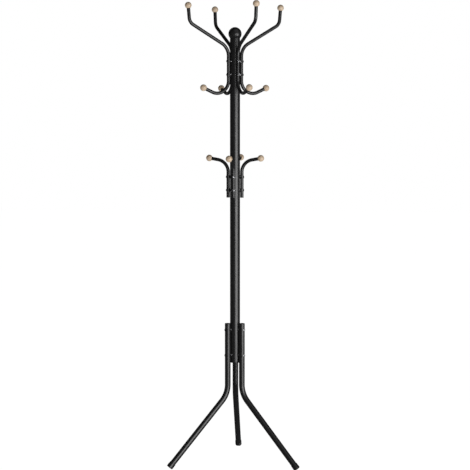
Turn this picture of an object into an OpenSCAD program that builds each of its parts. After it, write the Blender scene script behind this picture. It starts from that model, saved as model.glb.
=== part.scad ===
// Standing coat rack: a two-section pole on three bent legs, with four double
// hooks above four single hooks. Every hook ends in a wooden ball.
// Millimetres. The origin is on the pole's axis at the floor, +Z is up, and the
// rear leg points along +Y.

/* [Pole] */
// Outside diameter of the pole
pole_d = 38; // [30:1:45]
// Wall of the pole tube
pole_wall = 1.5; // [1:0.1:2.5]
// Height of the pole's lower end
pole_bottom_z = 390; // [360:5:395]
// Height of the joint between the two sections
pole_joint_z = 988; // [700:1:990]
// Height of the pole's upper end
pole_top_z = 1620; // [1570:5:1650]
// Diameter of the ball on top of the pole
top_ball_d = 50; // [42:1:60]

/* [Hooks] */
// Outside diameter of the hook tube
hook_d = 13; // [12:0.5:16]
// Wall of the hook tube
hook_wall = 1.2; // [1:0.1:2]
// Direction of the first double hook, counted from +X
double_turn = 27; // [0:1:89]
// Direction of the first single hook, counted from +X
single_turn = -10; // [-45:1:44]
// Height midway between the two screws of a double hook
double_z = 1508; // [1450:1:1520]
// Height midway between the two screws of a single hook
single_z = 1072; // [1040:1:1080]
// Distance between the two screws of a hook
hook_screw_pitch = 50; // [40:1:60]
// Angle of the long arm above the horizontal
arm_rise = 30; // [20:1:40]
// Length of the straight part of the long arm
arm_run = 134; // [110:1:150]
// Length from the end of the arm's last bend to the centre of its ball
arm_tip_run = 46.2; // [35:0.1:60]
// Angle of the J end above the horizontal
j_rise = 24; // [10:1:40]
// Angle of the single hook's tip above the horizontal
single_rise = 10; // [0:1:30]
// Length from the end of the J's bend to the centre of its ball
j_tip_run = 40; // [30:1:50]
// Length from the end of the single hook's bend to the centre of its ball
single_tip_run = 35; // [30:1:50]
// Diameter of the wooden balls
ball_d = 25; // [22:0.5:32]

/* [Legs] */
// Outside diameter of the leg tube
leg_d = 22; // [19:0.5:25]
// Wall of the leg tube
leg_wall = 1.5; // [1:0.1:2.5]
// Height of the upper end of the leg tube
leg_top_z = 537; // [525:1:560]
// Height midway between the two screws of a leg
leg_screw_z = 465; // [460:1:470]
// Distance between the two screws of a leg
leg_screw_pitch = 98; // [80:1:110]
// Height at which the leg starts to bend outward
leg_bend_z = 303; // [280:1:330]
// Radius of the leg's bend, on the tube's axis
leg_bend_r = 90; // [60:1:120]
// Angle between the leg's lower run and the vertical
leg_lean = 43.4; // [35:0.1:50]
// Outside diameter of the foot cap
foot_d = 25; // [24:0.5:30]
// Length of the foot cap
foot_len = 20; // [15:1:35]

/* [Hidden] */
$fn = 96;

// Colours
black_steel = "#232326";
black_plastic = "#1a1a1c";
beech = "#d9bd94";
zinc = "#c4c6c8";

// Quarter turns that the four hooks of a level make from the first one
RIGHT = 0;
BACK = 90;
LEFT = 180;
FRONT = 270;

// Directions of the legs
LEG_REAR = 90;
LEG_LEFT = 210;
LEG_RIGHT = 330;

// Gap left around what is pushed or screwed in
fit_gap = 0.05;
cut = 1;

// A bend is thicker by this all over, and the straight runs reach this far into it
bend_swell = 0.01;
bend_lap = 0.5;

// M6 screws and rivet nuts
screw_d = 6;
screw_head_d = 10.5;
screw_head_h = 2;
screw_head_dome = 2.6;
screw_socket = 4;
screw_socket_depth = 1.4;
hook_screw_len = 25;
leg_screw_len = 35;
screw_hole_d = 6.4;
nut_flange_d = 13;
nut_flange_h = 1.2;
nut_body_d = 9;
nut_body_len = 12.5;
nut_collar_d = 12;
nut_collar_from = 2.8;
nut_collar_h = 3;
nut_hole_d = 9.2;

// Pole joint
insert_len = 20;
stud_d = 10;
stud_reach = 16;
end_bevel = 0.6;

// Mouldings
spigot_wall = 2.5;
top_ball_spigot = 22;
pole_plug_head = 4;
pole_plug_spigot = 14;
leg_plug_head = 2;
leg_plug_dome = 1;
leg_plug_spigot = 12;
hook_plug_head = 1.5;
hook_plug_spigot = 9;
foot_floor = 3;
foot_flat = 2;
foot_bevel = 0.8;

// Tube bends and places that follow from the sizes above
pole_r = pole_d / 2;
hook_axis_r = pole_r + nut_flange_h + hook_d / 2;
leg_axis_r = pole_r + nut_flange_h + leg_d / 2;
arm_root_bend_r = 55;
arm_tip_bend_r = 32;
arm_tip_lean = 5;
short_bend_r = 47;
arm_start = 19;
j_start = 23;
single_tail = 27;
ball_seat = 1.5;
double_top_z = double_z + hook_screw_pitch / 2 + arm_start;
double_bottom_z = double_z - hook_screw_pitch / 2 - j_start;
single_top_z = single_z + hook_screw_pitch / 2 + arm_start;
single_bottom_z = single_z - hook_screw_pitch / 2 - single_tail;
foot_centre_z = foot_d / 2 * sin(leg_lean) - foot_flat;
leg_bend_end_z = leg_bend_z - leg_bend_r * sin(leg_lean);
leg_run = (leg_bend_end_z - foot_centre_z) / cos(leg_lean);

// ---- Tube runs: each starts at the origin and heads along +Z ----

module straight_tube(d, wall, len) {
    difference() {
        cylinder(d = d, h = len);
        translate([0, 0, -cut]) cylinder(d = d - 2 * wall, h = len + 2 * cut);
    }
}

// A straight tube with a lap at its start, and with one at its end too if it is between bends
module lapped_tube(d, wall, len, between = false) {
    translate([0, 0, -bend_lap])
        straight_tube(d, wall, len + (between ? 2 : 1) * bend_lap);
}

// A quarter or other part of a ring, which turns from +Z towards +X
module bent_tube(d, wall, r, angle) {
    translate([r, 0, 0]) rotate([90, 0, 180])
        rotate_extrude(angle = angle) translate([r, 0]) difference() {
            circle(d = d + 2 * bend_swell);
            circle(d = d - 2 * wall - 2 * bend_swell);
        }
}

// Carries its children to the end of a straight run
module past_straight(len) {
    translate([0, 0, len]) children();
}

// Carries its children to the end of a bend towards +X
module past_bend(r, angle) {
    translate([r * (1 - cos(angle)), 0, r * sin(angle)]) rotate([0, angle, 0]) children();
}

// Carries its children to the end of a bend towards -X
module past_back_bend(r, angle) {
    translate([-r * (1 - cos(angle)), 0, r * sin(angle)]) rotate([0, -angle, 0]) children();
}

// ---- Frames of the hooks and legs, which lie in the plane y = 0 and reach out along +X ----

// Centre of the ball on the long arm, with +Z along the tube
module at_arm_tip() {
    translate([hook_axis_r, 0, double_top_z])
        past_bend(arm_root_bend_r, 90 - arm_rise) past_straight(arm_run)
        past_back_bend(arm_tip_bend_r, 90 - arm_rise - arm_tip_lean)
        past_straight(arm_tip_run) children();
}

// Centre of the ball on the J end, with +Z along the tube
module at_j_tip() {
    translate([hook_axis_r, 0, double_bottom_z]) rotate([180, 0, 0])
        past_bend(short_bend_r, 90 + j_rise) past_straight(j_tip_run) children();
}

// Centre of the ball on the single hook, with +Z along the tube
module at_single_tip() {
    translate([hook_axis_r, 0, single_top_z])
        past_bend(short_bend_r, 90 - single_rise) past_straight(single_tip_run) children();
}

// End of the leg's bend, with +Z down along the leg
module at_leg_run() {
    translate([leg_axis_r, 0, leg_bend_z]) rotate([180, 0, 0])
        past_bend(leg_bend_r, leg_lean) children();
}

// ---- Fasteners, with +Z out of the pole ----

module radial(z) {
    translate([0, 0, z]) rotate([0, 90, 0]) children();
}

// Both heights of a pair of screws
module at_pair(mid_z, pitch) {
    for (side = [-1, 1]) radial(mid_z + side * pitch / 2) children();
}

module hooks_round(first) {
    for (turn = [RIGHT, BACK, LEFT, FRONT]) rotate([0, 0, first + turn]) children();
}

module legs_round() {
    for (turn = [LEG_REAR, LEG_LEFT, LEG_RIGHT]) rotate([0, 0, turn]) children();
}

// Button-head screw with a hex socket; the seat of its head is at z = 0
module button_screw(len) {
    head_r = screw_head_d / 2;
    dome_r = (head_r * head_r + screw_head_dome * screw_head_dome) / (2 * screw_head_dome);
    difference() {
        union() {
            intersection() {
                translate([0, 0, screw_head_dome - dome_r]) sphere(r = dome_r);
                cylinder(d = screw_head_d + 2 * cut, h = screw_head_h);
            }
            translate([0, 0, -len]) cylinder(d = screw_d, h = len);
        }
        translate([0, 0, screw_head_h - screw_socket_depth])
            cylinder(d = screw_socket / cos(30), h = screw_socket_depth + cut, $fn = 6);
    }
}

// Rivet nut set in the pole's wall, with its flange on the outside
module rivet_nut() {
    difference() {
        union() {
            translate([0, 0, pole_r]) cylinder(d = nut_flange_d, h = nut_flange_h);
            translate([0, 0, pole_r - nut_body_len]) cylinder(d = nut_body_d, h = nut_body_len);
            translate([0, 0, pole_r - nut_collar_from - nut_collar_h])
                cylinder(d = nut_collar_d, h = nut_collar_h);
        }
        translate([0, 0, pole_r - nut_body_len - cut])
            cylinder(d = screw_d + 2 * fit_gap, h = nut_body_len + nut_flange_h + 2 * cut);
    }
}

module nut_hole() {
    translate([0, 0, pole_r / 2]) cylinder(d = nut_hole_d, h = pole_r);
}

// ---- Pole ----

module pole_section(from_z, to_z) {
    inner_r = pole_r - pole_wall;
    translate([0, 0, from_z]) rotate_extrude() polygon([
        [inner_r, 0],
        [pole_r - end_bevel, 0],
        [pole_r, end_bevel],
        [pole_r, to_z - from_z - end_bevel],
        [pole_r - end_bevel, to_z - from_z],
        [inner_r, to_z - from_z]
    ]);
}

module pole_lower() {
    color(black_steel) difference() {
        pole_section(pole_bottom_z, pole_joint_z);
        legs_round() at_pair(leg_screw_z, leg_screw_pitch) nut_hole();
    }
}

module pole_upper() {
    color(black_steel) difference() {
        pole_section(pole_joint_z, pole_top_z);
        hooks_round(double_turn) at_pair(double_z, hook_screw_pitch) nut_hole();
        hooks_round(single_turn) at_pair(single_z, hook_screw_pitch) nut_hole();
    }
}

// Steel disc fixed in the end of a pole section, with a blind hole for the stud
module pole_insert() {
    difference() {
        cylinder(r = pole_r - pole_wall - fit_gap, h = insert_len);
        translate([0, 0, -cut]) cylinder(d = stud_d + 2 * fit_gap, h = stud_reach + cut);
    }
}

module pole_lower_insert() {
    color(zinc) translate([0, 0, pole_joint_z]) rotate([180, 0, 0]) pole_insert();
}

module pole_upper_insert() {
    color(zinc) translate([0, 0, pole_joint_z]) pole_insert();
}

module pole_joint_stud() {
    color(zinc) translate([0, 0, pole_joint_z - stud_reach])
        cylinder(d = stud_d, h = 2 * stud_reach);
}

// Hollow spigot that reaches down from z = 0 into a tube
module spigot(d, len) {
    translate([0, 0, -len]) straight_tube(d, spigot_wall, len);
}

// Moulded ball, cut where it is as wide as the pole
module pole_top_ball() {
    ball_r = top_ball_d / 2;
    rise = sqrt(ball_r * ball_r - pole_r * pole_r);
    color(black_plastic) translate([0, 0, pole_top_z]) union() {
        difference() {
            translate([0, 0, rise]) sphere(r = ball_r);
            translate([0, 0, -top_ball_d]) cylinder(d = 2 * top_ball_d, h = top_ball_d);
            intersection() {
                translate([0, 0, rise]) sphere(r = ball_r - 2 * spigot_wall);
                translate([0, 0, spigot_wall])
                    cylinder(d = pole_d - 6 * spigot_wall, h = top_ball_d);
            }
        }
        spigot(pole_d - 2 * pole_wall - 2 * fit_gap, top_ball_spigot);
    }
}

module pole_bottom_plug() {
    color(black_plastic) translate([0, 0, pole_bottom_z]) rotate([180, 0, 0]) union() {
        rotate_extrude() polygon([
            [0, 0],
            [pole_r, 0],
            [pole_r, pole_plug_head / 2],
            [pole_r - pole_plug_head / 2, pole_plug_head],
            [0, pole_plug_head]
        ]);
        spigot(pole_d - 2 * pole_wall - 2 * fit_gap, pole_plug_spigot);
    }
}

// ---- Double hooks ----

module double_hook(turn) {
    color(black_steel) rotate([0, 0, double_turn + turn]) union() {
        difference() {
            translate([hook_axis_r, 0, double_bottom_z])
                lapped_tube(hook_d, hook_wall, double_top_z - double_bottom_z, true);
            at_pair(double_z, hook_screw_pitch)
                translate([0, 0, pole_r]) cylinder(d = screw_hole_d, h = 2 * hook_d);
        }
        translate([hook_axis_r, 0, double_top_z]) {
            bent_tube(hook_d, hook_wall, arm_root_bend_r, 90 - arm_rise);
            past_bend(arm_root_bend_r, 90 - arm_rise) {
                lapped_tube(hook_d, hook_wall, arm_run, true);
                past_straight(arm_run) rotate([0, 0, 180]) bent_tube(
                    hook_d, hook_wall, arm_tip_bend_r, 90 - arm_rise - arm_tip_lean);
            }
        }
        at_arm_tip() translate([0, 0, -arm_tip_run])
            lapped_tube(hook_d, hook_wall, arm_tip_run - ball_seat);
        translate([hook_axis_r, 0, double_bottom_z]) rotate([180, 0, 0])
            bent_tube(hook_d, hook_wall, short_bend_r, 90 + j_rise);
        at_j_tip() translate([0, 0, -j_tip_run])
            lapped_tube(hook_d, hook_wall, j_tip_run - ball_seat);
    }
}

module double_hook_right() { double_hook(RIGHT); }
module double_hook_back() { double_hook(BACK); }
module double_hook_left() { double_hook(LEFT); }
module double_hook_front() { double_hook(FRONT); }

// ---- Single hooks ----

module single_hook(turn) {
    color(black_steel) rotate([0, 0, single_turn + turn]) union() {
        difference() {
            translate([hook_axis_r, 0, single_bottom_z])
                straight_tube(hook_d, hook_wall, single_top_z - single_bottom_z + bend_lap);
            at_pair(single_z, hook_screw_pitch)
                translate([0, 0, pole_r]) cylinder(d = screw_hole_d, h = 2 * hook_d);
        }
        translate([hook_axis_r, 0, single_top_z])
            bent_tube(hook_d, hook_wall, short_bend_r, 90 - single_rise);
        at_single_tip() translate([0, 0, -single_tip_run])
            lapped_tube(hook_d, hook_wall, single_tip_run - ball_seat);
    }
}

module single_hook_right() { single_hook(RIGHT); }
module single_hook_back() { single_hook(BACK); }
module single_hook_left() { single_hook(LEFT); }
module single_hook_front() { single_hook(FRONT); }

// Push-in plug for the lower end of a single hook
module single_hook_plug(turn) {
    color(black_plastic) rotate([0, 0, single_turn + turn])
        translate([hook_axis_r, 0, single_bottom_z]) union() {
            translate([0, 0, -hook_plug_head]) cylinder(d = hook_d, h = hook_plug_head);
            cylinder(d = hook_d - 2 * hook_wall - 2 * fit_gap, h = hook_plug_spigot);
        }
}

module single_hook_plug_right() { single_hook_plug(RIGHT); }
module single_hook_plug_back() { single_hook_plug(BACK); }
module single_hook_plug_left() { single_hook_plug(LEFT); }
module single_hook_plug_front() { single_hook_plug(FRONT); }

// ---- Balls ----

// Wooden ball with a blind hole that takes the end of the tube
module wooden_ball() {
    color(beech) difference() {
        sphere(d = ball_d);
        translate([0, 0, -ball_d])
            cylinder(d = hook_d + 2 * fit_gap, h = ball_d - ball_seat);
    }
}

module arm_ball(turn) { rotate([0, 0, double_turn + turn]) at_arm_tip() wooden_ball(); }
module arm_ball_right() { arm_ball(RIGHT); }
module arm_ball_back() { arm_ball(BACK); }
module arm_ball_left() { arm_ball(LEFT); }
module arm_ball_front() { arm_ball(FRONT); }

module j_end_ball(turn) { rotate([0, 0, double_turn + turn]) at_j_tip() wooden_ball(); }
module j_end_ball_right() { j_end_ball(RIGHT); }
module j_end_ball_back() { j_end_ball(BACK); }
module j_end_ball_left() { j_end_ball(LEFT); }
module j_end_ball_front() { j_end_ball(FRONT); }

module single_ball(turn) { rotate([0, 0, single_turn + turn]) at_single_tip() wooden_ball(); }
module single_hook_ball_right() { single_ball(RIGHT); }
module single_hook_ball_back() { single_ball(BACK); }
module single_hook_ball_left() { single_ball(LEFT); }
module single_hook_ball_front() { single_ball(FRONT); }

// ---- Legs ----

module leg(turn) {
    color(black_steel) rotate([0, 0, turn]) union() {
        difference() {
            translate([leg_axis_r, 0, leg_bend_z])
                lapped_tube(leg_d, leg_wall, leg_top_z - leg_bend_z);
            at_pair(leg_screw_z, leg_screw_pitch)
                translate([0, 0, pole_r]) cylinder(d = screw_hole_d, h = 2 * leg_d);
        }
        translate([leg_axis_r, 0, leg_bend_z]) rotate([180, 0, 0])
            bent_tube(leg_d, leg_wall, leg_bend_r, leg_lean);
        at_leg_run() lapped_tube(leg_d, leg_wall, leg_run - foot_floor);
    }
}

module leg_left() { leg(LEG_LEFT); }
module leg_right() { leg(LEG_RIGHT); }
module leg_rear() { leg(LEG_REAR); }

// Domed push-in plug for the top of a leg
module leg_plug(turn) {
    leg_r = leg_d / 2;
    dome_r = (leg_r * leg_r + leg_plug_dome * leg_plug_dome) / (2 * leg_plug_dome);
    plug_h = leg_plug_head + leg_plug_dome;
    color(black_plastic) rotate([0, 0, turn]) translate([leg_axis_r, 0, leg_top_z]) union() {
        intersection() {
            cylinder(r = leg_r, h = plug_h);
            translate([0, 0, plug_h - dome_r]) sphere(r = dome_r);
        }
        spigot(leg_d - 2 * leg_wall - 2 * fit_gap, leg_plug_spigot);
    }
}

module leg_plug_left() { leg_plug(LEG_LEFT); }
module leg_plug_right() { leg_plug(LEG_RIGHT); }
module leg_plug_rear() { leg_plug(LEG_REAR); }

// Cap over the end of a leg, with a flat moulded where it stands on the floor
module foot_cap(turn) {
    foot_r = foot_d / 2;
    color(black_plastic) rotate([0, 0, turn]) difference() {
        at_leg_run() translate([0, 0, leg_run - foot_len]) difference() {
            rotate_extrude() polygon([
                [0, 0],
                [foot_r - foot_bevel, 0],
                [foot_r, foot_bevel],
                [foot_r, foot_len],
                [0, foot_len]
            ]);
            translate([0, 0, -cut])
                cylinder(d = leg_d + 2 * fit_gap, h = foot_len - foot_floor + cut);
        }
        translate([0, -foot_d, -foot_d]) cube([2 * leg_run, 2 * foot_d, foot_d]);
    }
}

module foot_cap_left() { foot_cap(LEG_LEFT); }
module foot_cap_right() { foot_cap(LEG_RIGHT); }
module foot_cap_rear() { foot_cap(LEG_REAR); }

// ---- Fasteners ----

module double_hook_screws() {
    color(zinc) hooks_round(double_turn) at_pair(double_z, hook_screw_pitch)
        translate([0, 0, hook_axis_r + hook_d / 2]) button_screw(hook_screw_len);
}

module single_hook_screws() {
    color(zinc) hooks_round(single_turn) at_pair(single_z, hook_screw_pitch)
        translate([0, 0, hook_axis_r + hook_d / 2]) button_screw(hook_screw_len);
}

module leg_screws() {
    color(zinc) legs_round() at_pair(leg_screw_z, leg_screw_pitch)
        translate([0, 0, leg_axis_r + leg_d / 2]) button_screw(leg_screw_len);
}

module double_hook_rivet_nuts() {
    color(zinc) hooks_round(double_turn) at_pair(double_z, hook_screw_pitch) rivet_nut();
}

module single_hook_rivet_nuts() {
    color(zinc) hooks_round(single_turn) at_pair(single_z, hook_screw_pitch) rivet_nut();
}

module leg_rivet_nuts() {
    color(zinc) legs_round() at_pair(leg_screw_z, leg_screw_pitch) rivet_nut();
}

pole_lower();
pole_upper();
pole_lower_insert();
pole_upper_insert();
pole_joint_stud();
pole_top_ball();
pole_bottom_plug();
double_hook_right();
double_hook_back();
double_hook_left();
double_hook_front();
single_hook_right();
single_hook_back();
single_hook_left();
single_hook_front();
arm_ball_right();
arm_ball_back();
arm_ball_left();
arm_ball_front();
j_end_ball_right();
j_end_ball_back();
j_end_ball_left();
j_end_ball_front();
single_hook_ball_right();
single_hook_ball_back();
single_hook_ball_left();
single_hook_ball_front();
single_hook_plug_right();
single_hook_plug_back();
single_hook_plug_left();
single_hook_plug_front();
leg_left();
leg_right();
leg_rear();
leg_plug_left();
leg_plug_right();
leg_plug_rear();
foot_cap_left();
foot_cap_right();
foot_cap_rear();
double_hook_screws();
single_hook_screws();
leg_screws();
double_hook_rivet_nuts();
single_hook_rivet_nuts();
leg_rivet_nuts();
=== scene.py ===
"""Looks for the standing coat rack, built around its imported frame, in metres.

The pole, hooks and legs are hollow swept tubes under a black powder coat, the balls are turned wood, and
the screws, rivet nuts and mouldings are modelled with their real edges. Tubes are described in the upright
plane that they lie in: out from the pole's axis, and up. Angles are in degrees.
"""

import math
import random

import bpy
from mathutils import Matrix, Vector

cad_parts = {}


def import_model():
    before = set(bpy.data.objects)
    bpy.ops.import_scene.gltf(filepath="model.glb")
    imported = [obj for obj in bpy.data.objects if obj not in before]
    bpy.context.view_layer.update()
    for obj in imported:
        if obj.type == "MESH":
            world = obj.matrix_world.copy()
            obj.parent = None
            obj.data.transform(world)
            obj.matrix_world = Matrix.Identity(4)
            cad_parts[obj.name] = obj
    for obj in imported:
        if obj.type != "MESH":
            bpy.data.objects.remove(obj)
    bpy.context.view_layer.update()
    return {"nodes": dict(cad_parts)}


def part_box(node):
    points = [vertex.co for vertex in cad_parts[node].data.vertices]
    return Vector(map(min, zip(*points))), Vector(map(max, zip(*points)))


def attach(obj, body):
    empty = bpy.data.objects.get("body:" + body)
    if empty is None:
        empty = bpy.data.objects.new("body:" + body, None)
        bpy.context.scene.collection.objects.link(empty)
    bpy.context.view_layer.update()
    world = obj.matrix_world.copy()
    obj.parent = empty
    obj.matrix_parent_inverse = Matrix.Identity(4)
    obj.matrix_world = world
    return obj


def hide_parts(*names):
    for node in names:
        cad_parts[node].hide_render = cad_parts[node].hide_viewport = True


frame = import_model()

MM = 0.001

# ---- Sizes ----

POLE_R = 19 * MM
POLE_WALL = 1.5 * MM
POLE_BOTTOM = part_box("pole_lower")[0].z
POLE_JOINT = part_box("pole_lower")[1].z
POLE_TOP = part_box("pole_upper")[1].z

# Turns of the double hooks, single hooks and legs round the pole, counted from +X
HOOK_SIDES = ("right", "back", "left", "front")
DOUBLE_TURNS = {side: 27 + 90 * i for i, side in enumerate(HOOK_SIDES)}
SINGLE_TURNS = {side: -10 + 90 * i for i, side in enumerate(HOOK_SIDES)}
LEG_TURNS = {"left": 210, "right": 330, "rear": 90}

HOOK_R = 6.5 * MM
HOOK_WALL = 1.2 * MM
HOOK_OUT = 26.7 * MM
HOOK_PITCH = 50 * MM
DOUBLE_MID = 1508 * MM
DOUBLE_TOP = 1552 * MM
DOUBLE_LOW = 1460 * MM
SINGLE_MID = 1072 * MM
SINGLE_TOP = 1116 * MM
SINGLE_LOW = 1020 * MM
ARM_ROOT_R = 55 * MM
ARM_RISE = 30
ARM_RUN = 134 * MM
ARM_TIP_R = 32 * MM
ARM_TIP_RISE = 85
ARM_TIP_RUN = 46.2 * MM
SHORT_R = 47 * MM
J_RISE = 24
J_TIP_RUN = 40 * MM
SINGLE_RISE = 10
SINGLE_TIP_RUN = 35 * MM

LEG_R = 11 * MM
LEG_WALL = 1.5 * MM
LEG_OUT = 31.2 * MM
LEG_TOP = 537 * MM
LEG_MID = 465 * MM
LEG_PITCH = 98 * MM
LEG_BEND = 303 * MM
LEG_BEND_R = 90 * MM
LEG_LEAN = 43.4
FOOT_R = 12.5 * MM
FOOT_LEN = 20 * MM
FOOT_FLOOR = 3 * MM
FOOT_FLAT = 2 * MM

BALL_R = 12.5 * MM
BALL_SEAT = 1.5 * MM
TOP_BALL_R = 25 * MM
GAP = 0.05 * MM

SCREW_R = 3 * MM
SCREW_HEAD_R = 5.25 * MM
SCREW_HEAD_H = 2 * MM
SCREW_DOME = 2.6 * MM
SOCKET = 4 * MM
SOCKET_DEPTH = 1.4 * MM
SOCKET_CHAMFER = 0.25 * MM
SOCKET_CHAMFER_DEPTH = 0.22 * MM
SOCKET_POINT = 0.5 * MM
SCREW_CHAMFER = 0.6 * MM
HOOK_SCREW_LEN = 25 * MM
LEG_SCREW_LEN = 35 * MM
NUT_FLANGE_R = 6.5 * MM
NUT_FLANGE_H = 1.2 * MM
NUT_BODY_R = 4.5 * MM
NUT_BODY_LEN = 12.5 * MM
NUT_COLLAR_R = 6 * MM
NUT_COLLAR_FROM = 2.8 * MM
NUT_COLLAR_H = 3 * MM

SPIGOT_WALL = 2.5 * MM
TOP_BALL_SPIGOT = 22 * MM
BOTTOM_PLUG_HEAD = 4 * MM
BOTTOM_PLUG_SPIGOT = 14 * MM
BOTTOM_PLUG_SOFT = 2 * MM
LEG_PLUG_HEAD = 1.6 * MM
LEG_PLUG_CROWN = 1.35 * MM
LEG_PLUG_SPIGOT = 12 * MM
LEG_PLUG_SOFT = 0.8 * MM
HOOK_PLUG_HEAD = 1.5 * MM
HOOK_PLUG_SPIGOT = 9 * MM
GRIP_GROOVES = (4 * MM, 7 * MM)
GRIP_GROOVE_DEPTH = 0.35 * MM
GRIP_GROOVE_HALF = 0.7 * MM

# Sides of round pieces, and the angle above which an edge is shaded sharp
LARGE_SIDES = 96
BALL_SIDES = 72
LEG_SIDES = 64
SMALL_SIDES = 48
SHARP_EDGE = 38

# Camera, as fitted to the photograph's view of the rack
VIEW_TURN = 2.9
VIEW_DISTANCE = 5.700
VIEW_HEIGHT = 1.3565
VIEW_TILT = 4.82
VIEW_LENS = 115.06
VIEW_SENSOR = 36
VIEW_FAR = 60
FLOOR_HALF = 14

chance = random.Random(7)


# ---- Meshes ----


class Shape:
    """Collects closed rings of points and the faces between them, and turns them into one piece."""

    def __init__(self):
        self.points, self.faces, self.grain, self.painted_shade_faces = [], [], [], []

    def ring(self, points, grain=None):
        first = len(self.points)
        self.points += points
        self.grain += grain or points
        return list(range(first, first + len(points)))

    def skin(self, a, b):
        """Faces between two rings. A ring of one point closes the shape there."""
        count = max(len(a), len(b))
        for i in range(count):
            j = (i + 1) % count
            if len(a) == 1:
                self.faces.append((a[0], b[j], b[i]))
            elif len(b) == 1:
                self.faces.append((a[i], a[j], b[0]))
            else:
                self.faces.append((a[i], a[j], b[j], b[i]))

    def piece(self, name, material, slot, nodes, keep_grain=False):
        mesh = bpy.data.meshes.new(name)
        mesh.from_pydata([tuple(p) for p in self.points], [], self.faces)
        if keep_grain:
            grain = mesh.attributes.new("grain", "FLOAT_VECTOR", "POINT")
            grain.data.foreach_set("vector", [x for g in self.grain for x in g])
        mesh.validate()
        mesh.shade_smooth()
        mesh.set_sharp_from_angle(angle=math.radians(SHARP_EDGE))
        mesh.materials.append(material)
        # The listed socket faces take the second material, a dark colour painted on as the socket's shade
        if self.painted_shade_faces:
            mesh.materials.append(SOCKET_PAINTED_SHADE)
            for face in self.painted_shade_faces:
                mesh.polygons[face].material_index = 1
        made = bpy.data.objects.new(name, mesh)
        bpy.context.scene.collection.objects.link(made)
        shading = made.modifiers.new("even_shading", "WEIGHTED_NORMAL")
        shading.keep_sharp = True
        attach(made, "root")
        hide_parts(*nodes)


def turn_about_z(angle):
    return Matrix.Rotation(math.radians(angle), 4, "Z")


def rounded(corners, steps=4):
    """A profile with its corners rounded. Each corner is (radius, height, rounding)."""
    profile = []
    for i, (r, z, soft) in enumerate(corners):
        here = Vector((r, z))
        if not soft:
            profile.append(here)
            continue
        before = Vector(corners[i - 1][:2])
        after = Vector(corners[(i + 1) % len(corners)][:2])
        back, on = (before - here).normalized(), (after - here).normalized()
        for k in range(steps + 1):
            t = k / steps
            profile.append(here + back * soft * (1 - t) ** 2 + on * soft * t**2)
    return profile


def lathe(shape, profile, place, sides, closed=False, grain_turn=None):
    """Turns a profile of (radius, height) round the Z axis of place. closed joins its end to its start."""
    rings = []
    for r, z in profile:
        if r < 1e-7:
            local = [Vector((0, 0, z))]
        else:
            local = [
                Vector((r * math.cos(a), r * math.sin(a), z))
                for a in (math.tau * i / sides for i in range(sides))
            ]
        grain = [grain_turn @ p for p in local] if grain_turn else None
        rings.append(shape.ring([place @ p for p in local], grain))
    pairs = list(zip(rings, rings[1:]))
    if closed:
        pairs.append((rings[-1], rings[0]))
    for a, b in pairs:
        shape.skin(a, b)
    return rings


class Route:
    """A tube's centreline in its upright plane: points, each with its heading in degrees from level."""

    def __init__(self, out, up, heading):
        self.at, self.heading = Vector((out, up)), heading
        self.points = [(self.at.copy(), heading)]

    def along(self):
        a = math.radians(self.heading)
        return Vector((math.cos(a), math.sin(a)))

    def straight(self, length, step=12 * MM):
        start, count = self.at.copy(), max(1, round(length / step))
        for i in range(1, count + 1):
            self.points.append((start + self.along() * length * i / count, self.heading))
        self.at = start + self.along() * length
        return self

    def bend(self, radius, angle, step=3):
        """Turns left for a positive angle and right for a negative one."""
        side = math.copysign(1, angle)
        across = Vector((-self.along().y, self.along().x)) * side
        centre, first = self.at + across * radius, self.heading
        count = max(2, round(abs(angle) / step))
        for i in range(1, count + 1):
            h = first + angle * i / count
            a = math.radians(h)
            out = Vector((math.sin(a), -math.cos(a))) * side
            self.points.append((centre + out * radius, h))
        self.at, self.heading = self.points[-1][0].copy(), first + angle
        return self

    def backwards(self):
        return [(p, h + 180) for p, h in reversed(self.points)]


def tube(shape, points, radius, wall, turn, sides=SMALL_SIDES, soft=0.35 * MM):
    """Sweeps a hollow round tube, with softened ends, along the points of a route."""
    plane = turn_about_z(turn)
    out, side, up = plane @ Vector((1, 0, 0)), plane @ Vector((0, 1, 0)), Vector((0, 0, 1))

    def ring(point, heading, r, shift=0.0):
        a = math.radians(heading)
        along = out * math.cos(a) + up * math.sin(a)
        across = up * math.cos(a) - out * math.sin(a)
        centre = out * point.x + up * point.y + along * shift
        return shape.ring(
            [
                centre + (across * math.cos(b) + side * math.sin(b)) * r
                for b in (math.tau * i / sides for i in range(sides))
            ]
        )

    inner = radius - wall
    (p0, h0), (p1, h1) = points[0], points[-1]
    outside = [ring(p0, h0, radius - soft), ring(p0, h0, radius, soft)]
    outside += [ring(p, h, radius) for p, h in points[1:-1]]
    outside += [ring(p1, h1, radius, -soft), ring(p1, h1, radius - soft)]
    inside = [ring(p1, h1, inner)]
    inside += [ring(p, h, inner) for p, h in reversed(points[1:-1])]
    inside += [ring(p0, h0, inner)]
    loop = outside + inside
    for a, b in zip(loop, loop[1:] + loop[:1]):
        shape.skin(b, a)


# ---- Materials ----


def new_material(name, colour, roughness, metallic=0.0):
    material = bpy.data.materials.new(name)
    material.use_nodes = True
    shader = material.node_tree.nodes["Principled BSDF"]
    shader.inputs["Base Color"].default_value = (*colour, 1)
    shader.inputs["Roughness"].default_value = roughness
    shader.inputs["Metallic"].default_value = metallic
    return material, material.node_tree, shader


def node(tree, kind, **settings):
    made = tree.nodes.new(kind)
    for key, value in settings.items():
        setattr(made, key, value)
    return made


def noise(tree, where, scale, detail=2.0, roughness=0.5):
    made = node(tree, "ShaderNodeTexNoise")
    made.inputs["Scale"].default_value = scale
    made.inputs["Detail"].default_value = detail
    made.inputs["Roughness"].default_value = roughness
    tree.links.new(where, made.inputs["Vector"])
    return made.outputs["Fac"]


def between(tree, value, low, high, from_low=0.3, from_high=0.7):
    """Maps a pattern's value to the range low to high."""
    made = node(tree, "ShaderNodeMapRange")
    made.inputs["From Min"].default_value = from_low
    made.inputs["From Max"].default_value = from_high
    made.inputs["To Min"].default_value = low
    made.inputs["To Max"].default_value = high
    tree.links.new(value, made.inputs["Value"])
    return made.outputs["Result"]


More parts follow.
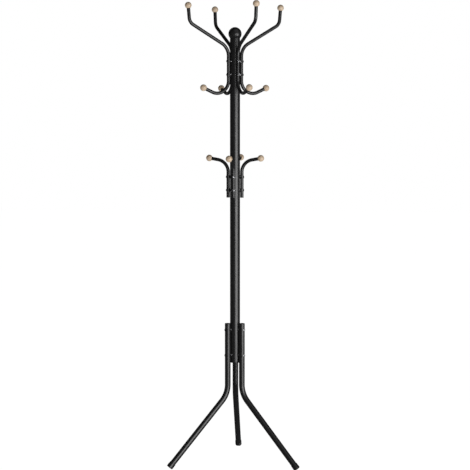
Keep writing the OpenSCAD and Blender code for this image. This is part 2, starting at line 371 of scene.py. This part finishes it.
def ramp(tree, value, stops):
    made = node(tree, "ShaderNodeValToRGB")
    while len(made.color_ramp.elements) < len(stops):
        made.color_ramp.elements.new(0.5)
    for element, (position, colour) in zip(made.color_ramp.elements, stops):
        element.position, element.color = position, (*colour, 1)
    tree.links.new(value, made.inputs["Fac"])
    return made.outputs["Color"]


def bumped(tree, height, strength, distance, normal=None):
    made = node(tree, "ShaderNodeBump")
    made.inputs["Strength"].default_value = strength
    made.inputs["Distance"].default_value = distance
    tree.links.new(height, made.inputs["Height"])
    if normal:
        tree.links.new(normal, made.inputs["Normal"])
    return made.outputs["Normal"]


def object_coordinates(tree):
    return node(tree, "ShaderNodeTexCoord").outputs["Object"]


def powder_coat():
    """Black satin powder coat: faint orange peel, fine grit and slow changes of gloss."""
    material, tree, shader = new_material("powder_coat_black", (0.01, 0.01, 0.0105), 0.36)
    where = object_coordinates(tree)
    tone = ramp(
        tree,
        noise(tree, where, 140, 3),
        [(0.3, (0.0075, 0.0075, 0.0078)), (0.7, (0.0105, 0.0104, 0.0107))],
    )
    tree.links.new(tone, shader.inputs["Base Color"])
    tree.links.new(between(tree, noise(tree, where, 35, 4), 0.30, 0.35), shader.inputs["Roughness"])
    peel = bumped(tree, noise(tree, where, 520, 1), 0.03, 0.3 * MM)
    grit = bumped(tree, noise(tree, where, 2600, 2), 0.03, 0.1 * MM, peel)
    tree.links.new(grit, shader.inputs["Normal"])
    return material


def moulded_plastic():
    """Black plastic with a fine spark-eroded texture."""
    material, tree, shader = new_material("moulded_plastic_black", (0.010, 0.010, 0.0103), 0.31)
    where = object_coordinates(tree)
    tone = ramp(
        tree,
        noise(tree, where, 220, 2),
        [(0.3, (0.0080, 0.0080, 0.0083)), (0.7, (0.0120, 0.0120, 0.0123))],
    )
    tree.links.new(tone, shader.inputs["Base Color"])
    tree.links.new(between(tree, noise(tree, where, 90, 3), 0.27, 0.36), shader.inputs["Roughness"])
    tree.links.new(bumped(tree, noise(tree, where, 1900, 3, 0.6), 0.06, 0.12 * MM), shader.inputs["Normal"])
    return material


def turned_wood():
    """Pale close-grained wood: growth rings, fibres and short dark flecks under a thin satin lacquer."""
    material, tree, shader = new_material("pale_wood", (0.51, 0.40, 0.29), 0.42)
    shader.inputs["Coat Weight"].default_value = 0.25
    shader.inputs["Coat Roughness"].default_value = 0.28
    where = node(tree, "ShaderNodeAttribute", attribute_name="grain").outputs["Vector"]

    def stretched(along):
        made = node(tree, "ShaderNodeMapping")
        made.inputs["Scale"].default_value = (1, 1, along)
        tree.links.new(where, made.inputs["Vector"])
        return made.outputs["Vector"]

    rings = node(tree, "ShaderNodeTexWave", wave_type="RINGS", rings_direction="Z", wave_profile="SIN")
    rings.inputs["Scale"].default_value = 95
    rings.inputs["Distortion"].default_value = 3.2
    rings.inputs["Detail"].default_value = 2.5
    rings.inputs["Detail Scale"].default_value = 0.9
    tree.links.new(stretched(0.25), rings.inputs["Vector"])
    fibres = noise(tree, stretched(0.08), 1500, 3, 0.6)
    flecks = noise(tree, stretched(0.16), 2300, 1)

    base = ramp(
        tree,
        rings.outputs["Fac"],
        [(0.0, (0.535, 0.43, 0.318)), (0.6, (0.50, 0.39, 0.28)), (1.0, (0.425, 0.312, 0.212))],
    )
    mixed = node(tree, "ShaderNodeMix", data_type="RGBA", blend_type="MULTIPLY")
    mixed.inputs["Factor"].default_value = 1.0
    tree.links.new(base, mixed.inputs[6])
    tree.links.new(
        ramp(tree, fibres, [(0.3, (0.86, 0.84, 0.82)), (0.65, (1.0, 1.0, 1.0))]), mixed.inputs[7]
    )
    dotted = node(tree, "ShaderNodeMix", data_type="RGBA", blend_type="MULTIPLY")
    dotted.inputs["Factor"].default_value = 1.0
    tree.links.new(mixed.outputs[2], dotted.inputs[6])
    tree.links.new(
        ramp(tree, flecks, [(0.26, (0.62, 0.52, 0.42)), (0.34, (1.0, 1.0, 1.0))]), dotted.inputs[7]
    )
    tree.links.new(dotted.outputs[2], shader.inputs["Base Color"])
    tree.links.new(between(tree, fibres, 0.50, 0.38), shader.inputs["Roughness"])
    tree.links.new(bumped(tree, fibres, 0.12, 0.12 * MM), shader.inputs["Normal"])
    return material


def zinc_plate():
    """Bright zinc on steel, with faint cloudy patches and fine scuffs."""
    material, tree, shader = new_material("zinc_plate", (0.66, 0.67, 0.68), 0.3, 1.0)
    where = object_coordinates(tree)
    tone = ramp(
        tree,
        noise(tree, where, 420, 3),
        [(0.3, (0.38, 0.385, 0.40)), (0.7, (0.52, 0.525, 0.54))],
    )
    tree.links.new(tone, shader.inputs["Base Color"])
    tree.links.new(between(tree, noise(tree, where, 900, 3), 0.24, 0.36), shader.inputs["Roughness"])
    tree.links.new(bumped(tree, noise(tree, where, 3200, 2), 0.08, 0.06 * MM), shader.inputs["Normal"])
    return material


def socket_painted_shade():
    """Painted shade: the sockets' insides are coloured dark, rough and half-metal to stand in for the shade
    that falls in the hex recess.
    """
    material, tree, shader = new_material("socket_painted_shade", (0.05, 0.05, 0.05), 0.6, 0.6)
    where = object_coordinates(tree)
    tone = ramp(tree, noise(tree, where, 900, 3), [(0.3, (0.03, 0.03, 0.032)), (0.7, (0.07, 0.068, 0.066))])
    tree.links.new(tone, shader.inputs["Base Color"])
    tree.links.new(between(tree, noise(tree, where, 1400, 2), 0.5, 0.7), shader.inputs["Roughness"])
    tree.links.new(bumped(tree, noise(tree, where, 3200, 2), 0.1, 0.06 * MM), shader.inputs["Normal"])
    return material


def pale_floor():
    material, tree, shader = new_material("pale_floor", (0.12, 0.12, 0.12), 0.85)
    where = object_coordinates(tree)
    tree.links.new(between(tree, noise(tree, where, 3, 2), 0.80, 0.90), shader.inputs["Roughness"])
    shader.inputs["Specular IOR Level"].default_value = 0.1
    shader.inputs["Emission Color"].default_value = (1, 1, 1, 1)
    shader.inputs["Emission Strength"].default_value = 1.0
    return material


COAT = powder_coat()
PLASTIC = moulded_plastic()
WOOD = turned_wood()
ZINC = zinc_plate()
# A dark colour painted into the screws' hex sockets as shade
SOCKET_PAINTED_SHADE = socket_painted_shade()


# ---- Pole ----


def pole_section(name, low, high):
    soft = 0.6 * MM
    corners = [
        (POLE_R - POLE_WALL, low, 0),
        (POLE_R, low, soft),
        (POLE_R, high, soft),
        (POLE_R - POLE_WALL, high, 0),
    ]
    shape = Shape()
    lathe(shape, rounded(corners), Matrix.Identity(4), LARGE_SIDES, closed=True)
    shape.piece(f"{name}_tube", COAT, "tubes", [name])


def pole_top_ball():
    """Hollow moulded ball on a short neck, with the faint line where its two halves meet."""
    rise = math.sqrt(TOP_BALL_R**2 - POLE_R**2)
    bore = POLE_R - POLE_WALL - GAP
    hollow_r, depth = TOP_BALL_R - 2 * SPIGOT_WALL, TOP_BALL_SPIGOT
    line_h, line_out = 0.35 * MM, 0.12 * MM
    first = math.degrees(math.asin(-rise / TOP_BALL_R))
    profile = [(bore - SPIGOT_WALL, -depth), (bore - 0.8 * MM, -depth)]
    profile += [(bore, -depth + 0.8 * MM), (bore, 0)]
    profile += [(POLE_R - 0.5 * MM, 0), (POLE_R, 0.35 * MM)]
    count = 44
    for i in range(2, count + 1):
        a = math.radians(first + (90 - first) * i / count)
        r, z = TOP_BALL_R * math.cos(a), TOP_BALL_R * math.sin(a)
        ridge = line_out * max(0, 1 - abs(z) / line_h)
        profile.append(((r - line_out + ridge) if r > line_out else 0, rise + z))
    profile[-1] = (0, rise + TOP_BALL_R)
    inner = [(0, rise + hollow_r)]
    for i in range(1, 20):
        a = math.radians(90 - i * 5)
        z = rise + hollow_r * math.sin(a)
        r = min(hollow_r * math.cos(a), bore - SPIGOT_WALL)
        inner.append((r, z))
    inner.append((bore - SPIGOT_WALL, SPIGOT_WALL))
    shape = Shape()
    place = Matrix.Translation((0, 0, POLE_TOP))
    outer_rings = lathe(shape, profile, place, LARGE_SIDES)
    inner_rings = lathe(shape, inner, place, LARGE_SIDES)
    shape.skin(inner_rings[-1], outer_rings[0])
    shape.piece("pole_top_ball_moulding", PLASTIC, "mouldings", ["pole_top_ball"])


def plug(name, place, head, wall, head_h, crown, spigot_len, soft):
    """A push-in plug: a head that may be crowned, and a hollow spigot. place has +Z out of the tube."""
    spigot_r = head - wall - GAP
    corners = [
        (0, -SPIGOT_WALL * 0.4, 0),
        (spigot_r - SPIGOT_WALL, -SPIGOT_WALL * 0.4, 0),
        (spigot_r - SPIGOT_WALL, -spigot_len, 0),
        (spigot_r, -spigot_len, 0.5 * MM),
        (spigot_r, 0, 0),
        (head, 0, 0.2 * MM),
        (head, head_h, soft),
    ]
    profile = rounded(corners + [(0, head_h, 0)])[:-1]
    rim = profile[-1].x
    for i in range(1, 9):
        t = i / 8
        profile.append(Vector((rim * (1 - t), head_h + crown * (1 - (1 - t) ** 2))))
    shape = Shape()
    lathe(shape, profile, place, LEG_SIDES)
    shape.piece(f"{name}_moulding", PLASTIC, "mouldings", [name])


def pole_bottom_plug():
    place = Matrix.Translation((0, 0, POLE_BOTTOM)) @ Matrix.Rotation(math.pi, 4, "X")
    plug(
        "pole_bottom_plug",
        place,
        POLE_R,
        POLE_WALL,
        head_h=BOTTOM_PLUG_HEAD,
        crown=0,
        spigot_len=BOTTOM_PLUG_SPIGOT,
        soft=BOTTOM_PLUG_SOFT,
    )


# ---- Hooks ----


def double_hook_route():
    j_end = Route(HOOK_OUT, DOUBLE_LOW, -90).bend(SHORT_R, 90 + J_RISE)
    j_end.straight(J_TIP_RUN - BALL_SEAT)
    arm = Route(HOOK_OUT, DOUBLE_LOW, 90).straight(DOUBLE_TOP - DOUBLE_LOW)
    arm.bend(ARM_ROOT_R, ARM_RISE - 90).straight(ARM_RUN)
    arm.bend(ARM_TIP_R, ARM_TIP_RISE - ARM_RISE).straight(ARM_TIP_RUN - BALL_SEAT)
    return j_end, arm


def single_hook_route():
    route = Route(HOOK_OUT, SINGLE_LOW, 90).straight(SINGLE_TOP - SINGLE_LOW)
    return route.bend(SHORT_R, SINGLE_RISE - 90).straight(SINGLE_TIP_RUN - BALL_SEAT)


def frame_at(route, turn, shift=0.0):
    """A place at the end of a route, with +Z along the tube."""
    a = math.radians(route.heading)
    at = route.at + route.along() * shift
    z = Vector((math.cos(a), 0, math.sin(a)))
    x = Vector((math.sin(a), 0, -math.cos(a)))
    y = z.cross(x)
    local = Matrix((x, y, z)).transposed().to_4x4()
    return turn_about_z(turn) @ Matrix.Translation((at.x, 0, at.y)) @ local


def wooden_ball(name, place):
    """A turned ball, drilled for the tube, with its own piece of grain."""
    hole, chamfer = HOOK_R + GAP, 0.35 * MM
    mouth = math.asin((hole + chamfer) / BALL_R)
    profile = [(0, -BALL_SEAT), (hole, -BALL_SEAT)]
    profile += [(hole, -math.cos(mouth) * BALL_R + chamfer)]
    count = 40
    for i in range(count + 1):
        a = mouth + (math.pi - mouth) * i / count
        profile.append((BALL_R * math.sin(a) if i < count else 0, -BALL_R * math.cos(a)))
    tilt = Matrix.Rotation(chance.uniform(0.2, 1.3), 4, Vector((chance.uniform(-1, 1), 1, 0)).normalized())
    offset = Matrix.Translation([chance.uniform(-60, 60) * MM for _ in range(3)])
    shape = Shape()
    lathe(shape, profile, place, BALL_SIDES, grain_turn=offset @ tilt)
    shape.piece(f"{name}_wood", WOOD, "balls", [name], keep_grain=True)


def double_hook(side, turn):
    j_end, arm = double_hook_route()
    shape = Shape()
    tube(shape, j_end.backwards() + arm.points[1:], HOOK_R, HOOK_WALL, turn)
    shape.piece(f"double_hook_{side}_tube", COAT, "tubes", [f"double_hook_{side}"])
    wooden_ball(f"arm_ball_{side}", frame_at(arm, turn, BALL_SEAT))
    wooden_ball(f"j_end_ball_{side}", frame_at(j_end, turn, BALL_SEAT))


def single_hook(side, turn):
    route = single_hook_route()
    shape = Shape()
    tube(shape, route.points, HOOK_R, HOOK_WALL, turn)
    shape.piece(f"single_hook_{side}_tube", COAT, "tubes", [f"single_hook_{side}"])
    wooden_ball(f"single_hook_ball_{side}", frame_at(route, turn, BALL_SEAT))
    low_end = turn_about_z(turn) @ Matrix.Translation((HOOK_OUT, 0, SINGLE_LOW))
    single_hook_plug(side, low_end @ Matrix.Rotation(math.pi, 4, "X"))


def single_hook_plug(side, place):
    spigot = HOOK_R - HOOK_WALL - GAP
    corners = [
        (0, -HOOK_PLUG_SPIGOT, 0),
        (spigot, -HOOK_PLUG_SPIGOT, 0.8 * MM),
        (spigot, 0, 0),
        (HOOK_R, 0, 0.15 * MM),
        (HOOK_R, HOOK_PLUG_HEAD, 0.9 * MM),
        (0, HOOK_PLUG_HEAD, 0),
    ]
    name = f"single_hook_plug_{side}"
    shape = Shape()
    lathe(shape, rounded(corners), place, SMALL_SIDES)
    shape.piece(f"{name}_moulding", PLASTIC, "mouldings", [name])


# ---- Legs ----


def leg_route():
    lean = math.radians(LEG_LEAN)
    foot_centre = FOOT_R * math.sin(lean) - FOOT_FLAT
    bend_end = LEG_BEND - LEG_BEND_R * math.sin(lean)
    run = (bend_end - foot_centre) / math.cos(lean)
    route = Route(LEG_OUT, LEG_TOP, -90).straight(LEG_TOP - LEG_BEND)
    return route.bend(LEG_BEND_R, LEG_LEAN).straight(run - FOOT_FLOOR)


def leg(side, turn):
    route = leg_route()
    shape = Shape()
    tube(shape, route.points, LEG_R, LEG_WALL, turn, sides=LEG_SIDES)
    shape.piece(f"leg_{side}_tube", COAT, "tubes", [f"leg_{side}"])
    top = turn_about_z(turn) @ Matrix.Translation((LEG_OUT, 0, LEG_TOP))
    plug(
        f"leg_plug_{side}",
        top,
        LEG_R,
        LEG_WALL,
        head_h=LEG_PLUG_HEAD,
        crown=LEG_PLUG_CROWN,
        spigot_len=LEG_PLUG_SPIGOT,
        soft=LEG_PLUG_SOFT,
    )
    foot_cap(side, frame_at(route, turn, FOOT_FLOOR))


def foot_cap(side, place):
    """A cup over the leg's end, with two shallow grip grooves, cut flat where it meets the floor."""
    bore = LEG_R + GAP
    groove_r = FOOT_R - GRIP_GROOVE_DEPTH
    corners = [
        (0, -FOOT_FLOOR, 0),
        (bore, -FOOT_FLOOR, 0),
        (bore, -FOOT_LEN, 0.3 * MM),
        (FOOT_R, -FOOT_LEN, 0.7 * MM),
    ]
    for above_end in GRIP_GROOVES:
        middle = -FOOT_LEN + above_end
        corners += [
            (FOOT_R, middle - GRIP_GROOVE_HALF, 0),
            (groove_r, middle - GRIP_GROOVE_HALF / 2, 0),
            (groove_r, middle + GRIP_GROOVE_HALF / 2, 0),
            (FOOT_R, middle + GRIP_GROOVE_HALF, 0),
        ]
    # Extra rings up the side and across the end let the cut follow the floor closely
    for height in (10, 7, 5.5, 4, 3, 2, 1.4):
        corners.append((FOOT_R, -height * MM, 0))
    corners += [(FOOT_R, 0, 1.1 * MM)]
    profile = rounded(corners + [(0, 0, 0)])[:-1]
    for share in (0.93, 0.88, 0.8, 0.7, 0.55, 0.4, 0.2):
        profile.append(Vector((FOOT_R * share, 0)))
    profile.append(Vector((0, 0)))
    shape = Shape()
    lathe(shape, profile, place, LARGE_SIDES)
    for p in shape.points:
        p.z = max(p.z, 0.0)
    shape.piece(f"foot_cap_{side}_moulding", PLASTIC, "mouldings", [f"foot_cap_{side}"])


# ---- Fasteners ----


def radial(turn, height, out):
    """A place on the pole's side with +Z out of the pole."""
    return turn_about_z(turn) @ Matrix.Translation((out, 0, height)) @ Matrix.Rotation(math.pi / 2, 4, "Y")


def hex_radius(angle):
    """Distance from a hexagon's centre to its edge at an angle."""
    flat = SOCKET / 2
    a = (angle + math.pi / 6) % (math.pi / 3) - math.pi / 6
    return flat / math.cos(a)


def button_screw(shape, place, length):
    """A button-head screw: domed head, soft rim, chamfered hex socket and a shank with a chamfered end."""
    sides, soft = SMALL_SIDES, 0.3 * MM
    dome_r = (SCREW_HEAD_R**2 + SCREW_DOME**2) / (2 * SCREW_DOME)
    mouth = SOCKET / 2 / math.cos(math.pi / 6) + SOCKET_CHAMFER
    profile = [
        (0, -length),
        (SCREW_R - SCREW_CHAMFER, -length),
        (SCREW_R, -length + SCREW_CHAMFER),
        (SCREW_R, -0.25 * MM),
        (SCREW_R + 0.25 * MM, 0),
        (SCREW_HEAD_R - 0.5 * MM, 0),
        (SCREW_HEAD_R - 0.12 * MM, 0.12 * MM),
        (SCREW_HEAD_R - 0.05 * MM, soft),
    ]
    steps = 12
    last = math.sqrt(max(0.0, dome_r**2 - (SCREW_HEAD_H - SCREW_DOME + dome_r) ** 2))
    start = SCREW_HEAD_R - 0.12 * MM
    for i in range(1, steps + 1):
        r = start + (last - start) * i / steps
        z = min(SCREW_HEAD_H, SCREW_DOME - dome_r + math.sqrt(dome_r**2 - r**2))
        profile.append((r, z))
    profile.append((mouth, SCREW_HEAD_H))
    rings = lathe(shape, profile, place, sides)

    def hexagon(height):
        return shape.ring(
            [
                place @ Vector((hex_radius(a) * math.cos(a), hex_radius(a) * math.sin(a), height))
                for a in (math.tau * i / sides for i in range(sides))
            ]
        )

    floor = SCREW_HEAD_H - SOCKET_DEPTH
    walls = [rings[-1], hexagon(SCREW_HEAD_H - SOCKET_CHAMFER_DEPTH), hexagon(floor)]
    walls.append(shape.ring([place @ Vector((0, 0, floor - SOCKET_POINT))]))
    shape.skin(walls[0], walls[1])
    # The socket's walls and floor below the chamfer are listed for the painted shade
    first = len(shape.faces)
    for a, b in zip(walls[1:], walls[2:]):
        shape.skin(a, b)
    shape.painted_shade_faces += range(first, len(shape.faces))


def rivet_nut(shape, place):
    """A set rivet nut: flange on the pole's skin, where place is, body through the wall, collar inside."""
    bore = SCREW_R + GAP
    corners = [
        (bore, -NUT_BODY_LEN, 0),
        (NUT_BODY_R, -NUT_BODY_LEN, 0.4 * MM),
        (NUT_BODY_R, -NUT_COLLAR_FROM - NUT_COLLAR_H, 0),
        (NUT_COLLAR_R, -NUT_COLLAR_FROM - NUT_COLLAR_H, 0.6 * MM),
        (NUT_COLLAR_R, -NUT_COLLAR_FROM, 0.6 * MM),
        (NUT_BODY_R, -NUT_COLLAR_FROM, 0),
        (NUT_BODY_R, 0, 0),
        (NUT_FLANGE_R, 0, 0.15 * MM),
        (NUT_FLANGE_R, NUT_FLANGE_H, 0.3 * MM),
        (bore, NUT_FLANGE_H, 0.3 * MM),
    ]
    lathe(shape, rounded(corners), place, SMALL_SIDES, closed=True)


def fasteners(family, turns, middle, pitch, out, length):
    """The screws and rivet nuts of one kind of tube: two of each for every tube."""
    screws, nuts = Shape(), Shape()
    for turn in turns.values():
        for height in (middle - pitch / 2, middle + pitch / 2):
            spin = Matrix.Rotation(chance.uniform(0, math.pi / 3), 4, "Z")
            button_screw(screws, radial(turn, height, out) @ spin, length)
            rivet_nut(nuts, radial(turn, height, POLE_R))
    screws.piece(f"{family}_screws_zinc", ZINC, "hardware", [f"{family}_screws"])
    nuts.piece(f"{family}_rivet_nuts_zinc", ZINC, "hardware", [f"{family}_rivet_nuts"])


def inner_hardware():
    """The joint's inserts and stud stay as the frame has them, in a zinc finish."""
    for name in ("pole_lower_insert", "pole_upper_insert", "pole_joint_stud"):
        inner = frame["nodes"][name]
        inner.data.materials.clear()
        inner.data.materials.append(ZINC)


# ---- Stage ----


def floor():
    mesh = bpy.data.meshes.new("floor")
    corners = [(x * FLOOR_HALF, y * FLOOR_HALF, 0) for x, y in ((-1, -1), (1, -1), (1, 1), (-1, 1))]
    mesh.from_pydata(corners, [], [(0, 1, 2, 3)])
    mesh.materials.append(pale_floor())
    made = bpy.data.objects.new("floor", mesh)
    bpy.context.scene.collection.objects.link(made)
    made.visible_glossy = False


def world():
    """White behind the object, and a dim room for what lights it."""
    made = bpy.data.worlds.new("studio")
    bpy.context.scene.world = made
    made.use_nodes = True
    tree = made.node_tree
    dim = tree.nodes["Background"]
    dim.inputs["Color"].default_value = (1, 1, 1, 1)
    dim.inputs["Strength"].default_value = 0.02
    white = node(tree, "ShaderNodeBackground")
    white.inputs["Color"].default_value = (1, 1, 1, 1)
    white.inputs["Strength"].default_value = 1.0
    path = node(tree, "ShaderNodeLightPath")
    mix = node(tree, "ShaderNodeMixShader")
    tree.links.new(path.outputs["Is Camera Ray"], mix.inputs["Fac"])
    tree.links.new(dim.outputs["Background"], mix.inputs[1])
    tree.links.new(white.outputs["Background"], mix.inputs[2])
    tree.links.new(mix.outputs["Shader"], tree.nodes["World Output"].inputs["Surface"])


def softbox(name, turn, distance, height, aim, width, tall, radiance):
    """An area light at a turn to the right of the camera, facing the rack's axis at height aim."""
    data = bpy.data.lights.new(name, "AREA")
    data.shape, data.size, data.size_y = "RECTANGLE", width, tall
    data.energy = radiance * math.pi * width * tall
    lamp = bpy.data.objects.new(name, data)
    a = math.radians(VIEW_TURN + turn)
    lamp.location = (math.sin(a) * distance, -math.cos(a) * distance, height)
    lamp.rotation_euler = (Vector((0, 0, aim)) - lamp.location).to_track_quat("-Z", "Y").to_euler()
    lamp.visible_camera = False
    bpy.context.scene.collection.objects.link(lamp)
    return lamp


def lights():
    softbox("key", turn=36, distance=3.2, height=0.6, aim=0.6, width=3.2, tall=2.0, radiance=6.2)
    rim = softbox("rim", turn=-126, distance=3.4, height=0.3, aim=0.8, width=0.9, tall=1.4, radiance=0.8)
    rim.visible_diffuse = False
    softbox("top", turn=35, distance=1.6, height=3.4, aim=0.9, width=2.6, tall=2.6, radiance=0.4)
    fill = softbox("fill", turn=-60, distance=3.6, height=1.2, aim=1.0, width=2.4, tall=2.6, radiance=0.15)
    fill.visible_glossy = False


def camera():
    data = bpy.data.cameras.new("camera")
    data.sensor_width, data.lens = VIEW_SENSOR, VIEW_LENS
    data.clip_end = VIEW_FAR
    made = bpy.data.objects.new("camera", data)
    a, tilt = math.radians(VIEW_TURN), math.radians(VIEW_TILT)
    made.location = (math.sin(a) * VIEW_DISTANCE, -math.cos(a) * VIEW_DISTANCE, VIEW_HEIGHT)
    ahead = Vector((-math.sin(a) * math.cos(tilt), math.cos(a) * math.cos(tilt), -math.sin(tilt)))
    made.rotation_euler = ahead.to_track_quat("-Z", "Y").to_euler()
    bpy.context.scene.collection.objects.link(made)
    bpy.context.scene.camera = made


def build():
    pole_section("pole_lower", POLE_BOTTOM, POLE_JOINT)
    pole_section("pole_upper", POLE_JOINT, POLE_TOP)
    pole_top_ball()
    pole_bottom_plug()
    for side, turn in DOUBLE_TURNS.items():
        double_hook(side, turn)
    for side, turn in SINGLE_TURNS.items():
        single_hook(side, turn)
    for side, turn in LEG_TURNS.items():
        leg(side, turn)
    hook_face, leg_face = HOOK_OUT + HOOK_R, LEG_OUT + LEG_R
    fasteners("double_hook", DOUBLE_TURNS, DOUBLE_MID, HOOK_PITCH, hook_face, HOOK_SCREW_LEN)
    fasteners("single_hook", SINGLE_TURNS, SINGLE_MID, HOOK_PITCH, hook_face, HOOK_SCREW_LEN)
    fasteners("leg", LEG_TURNS, LEG_MID, LEG_PITCH, leg_face, LEG_SCREW_LEN)
    inner_hardware()


build()
floor()
world()
lights()
camera()
bpy.context.scene.view_settings.view_transform = "Standard"
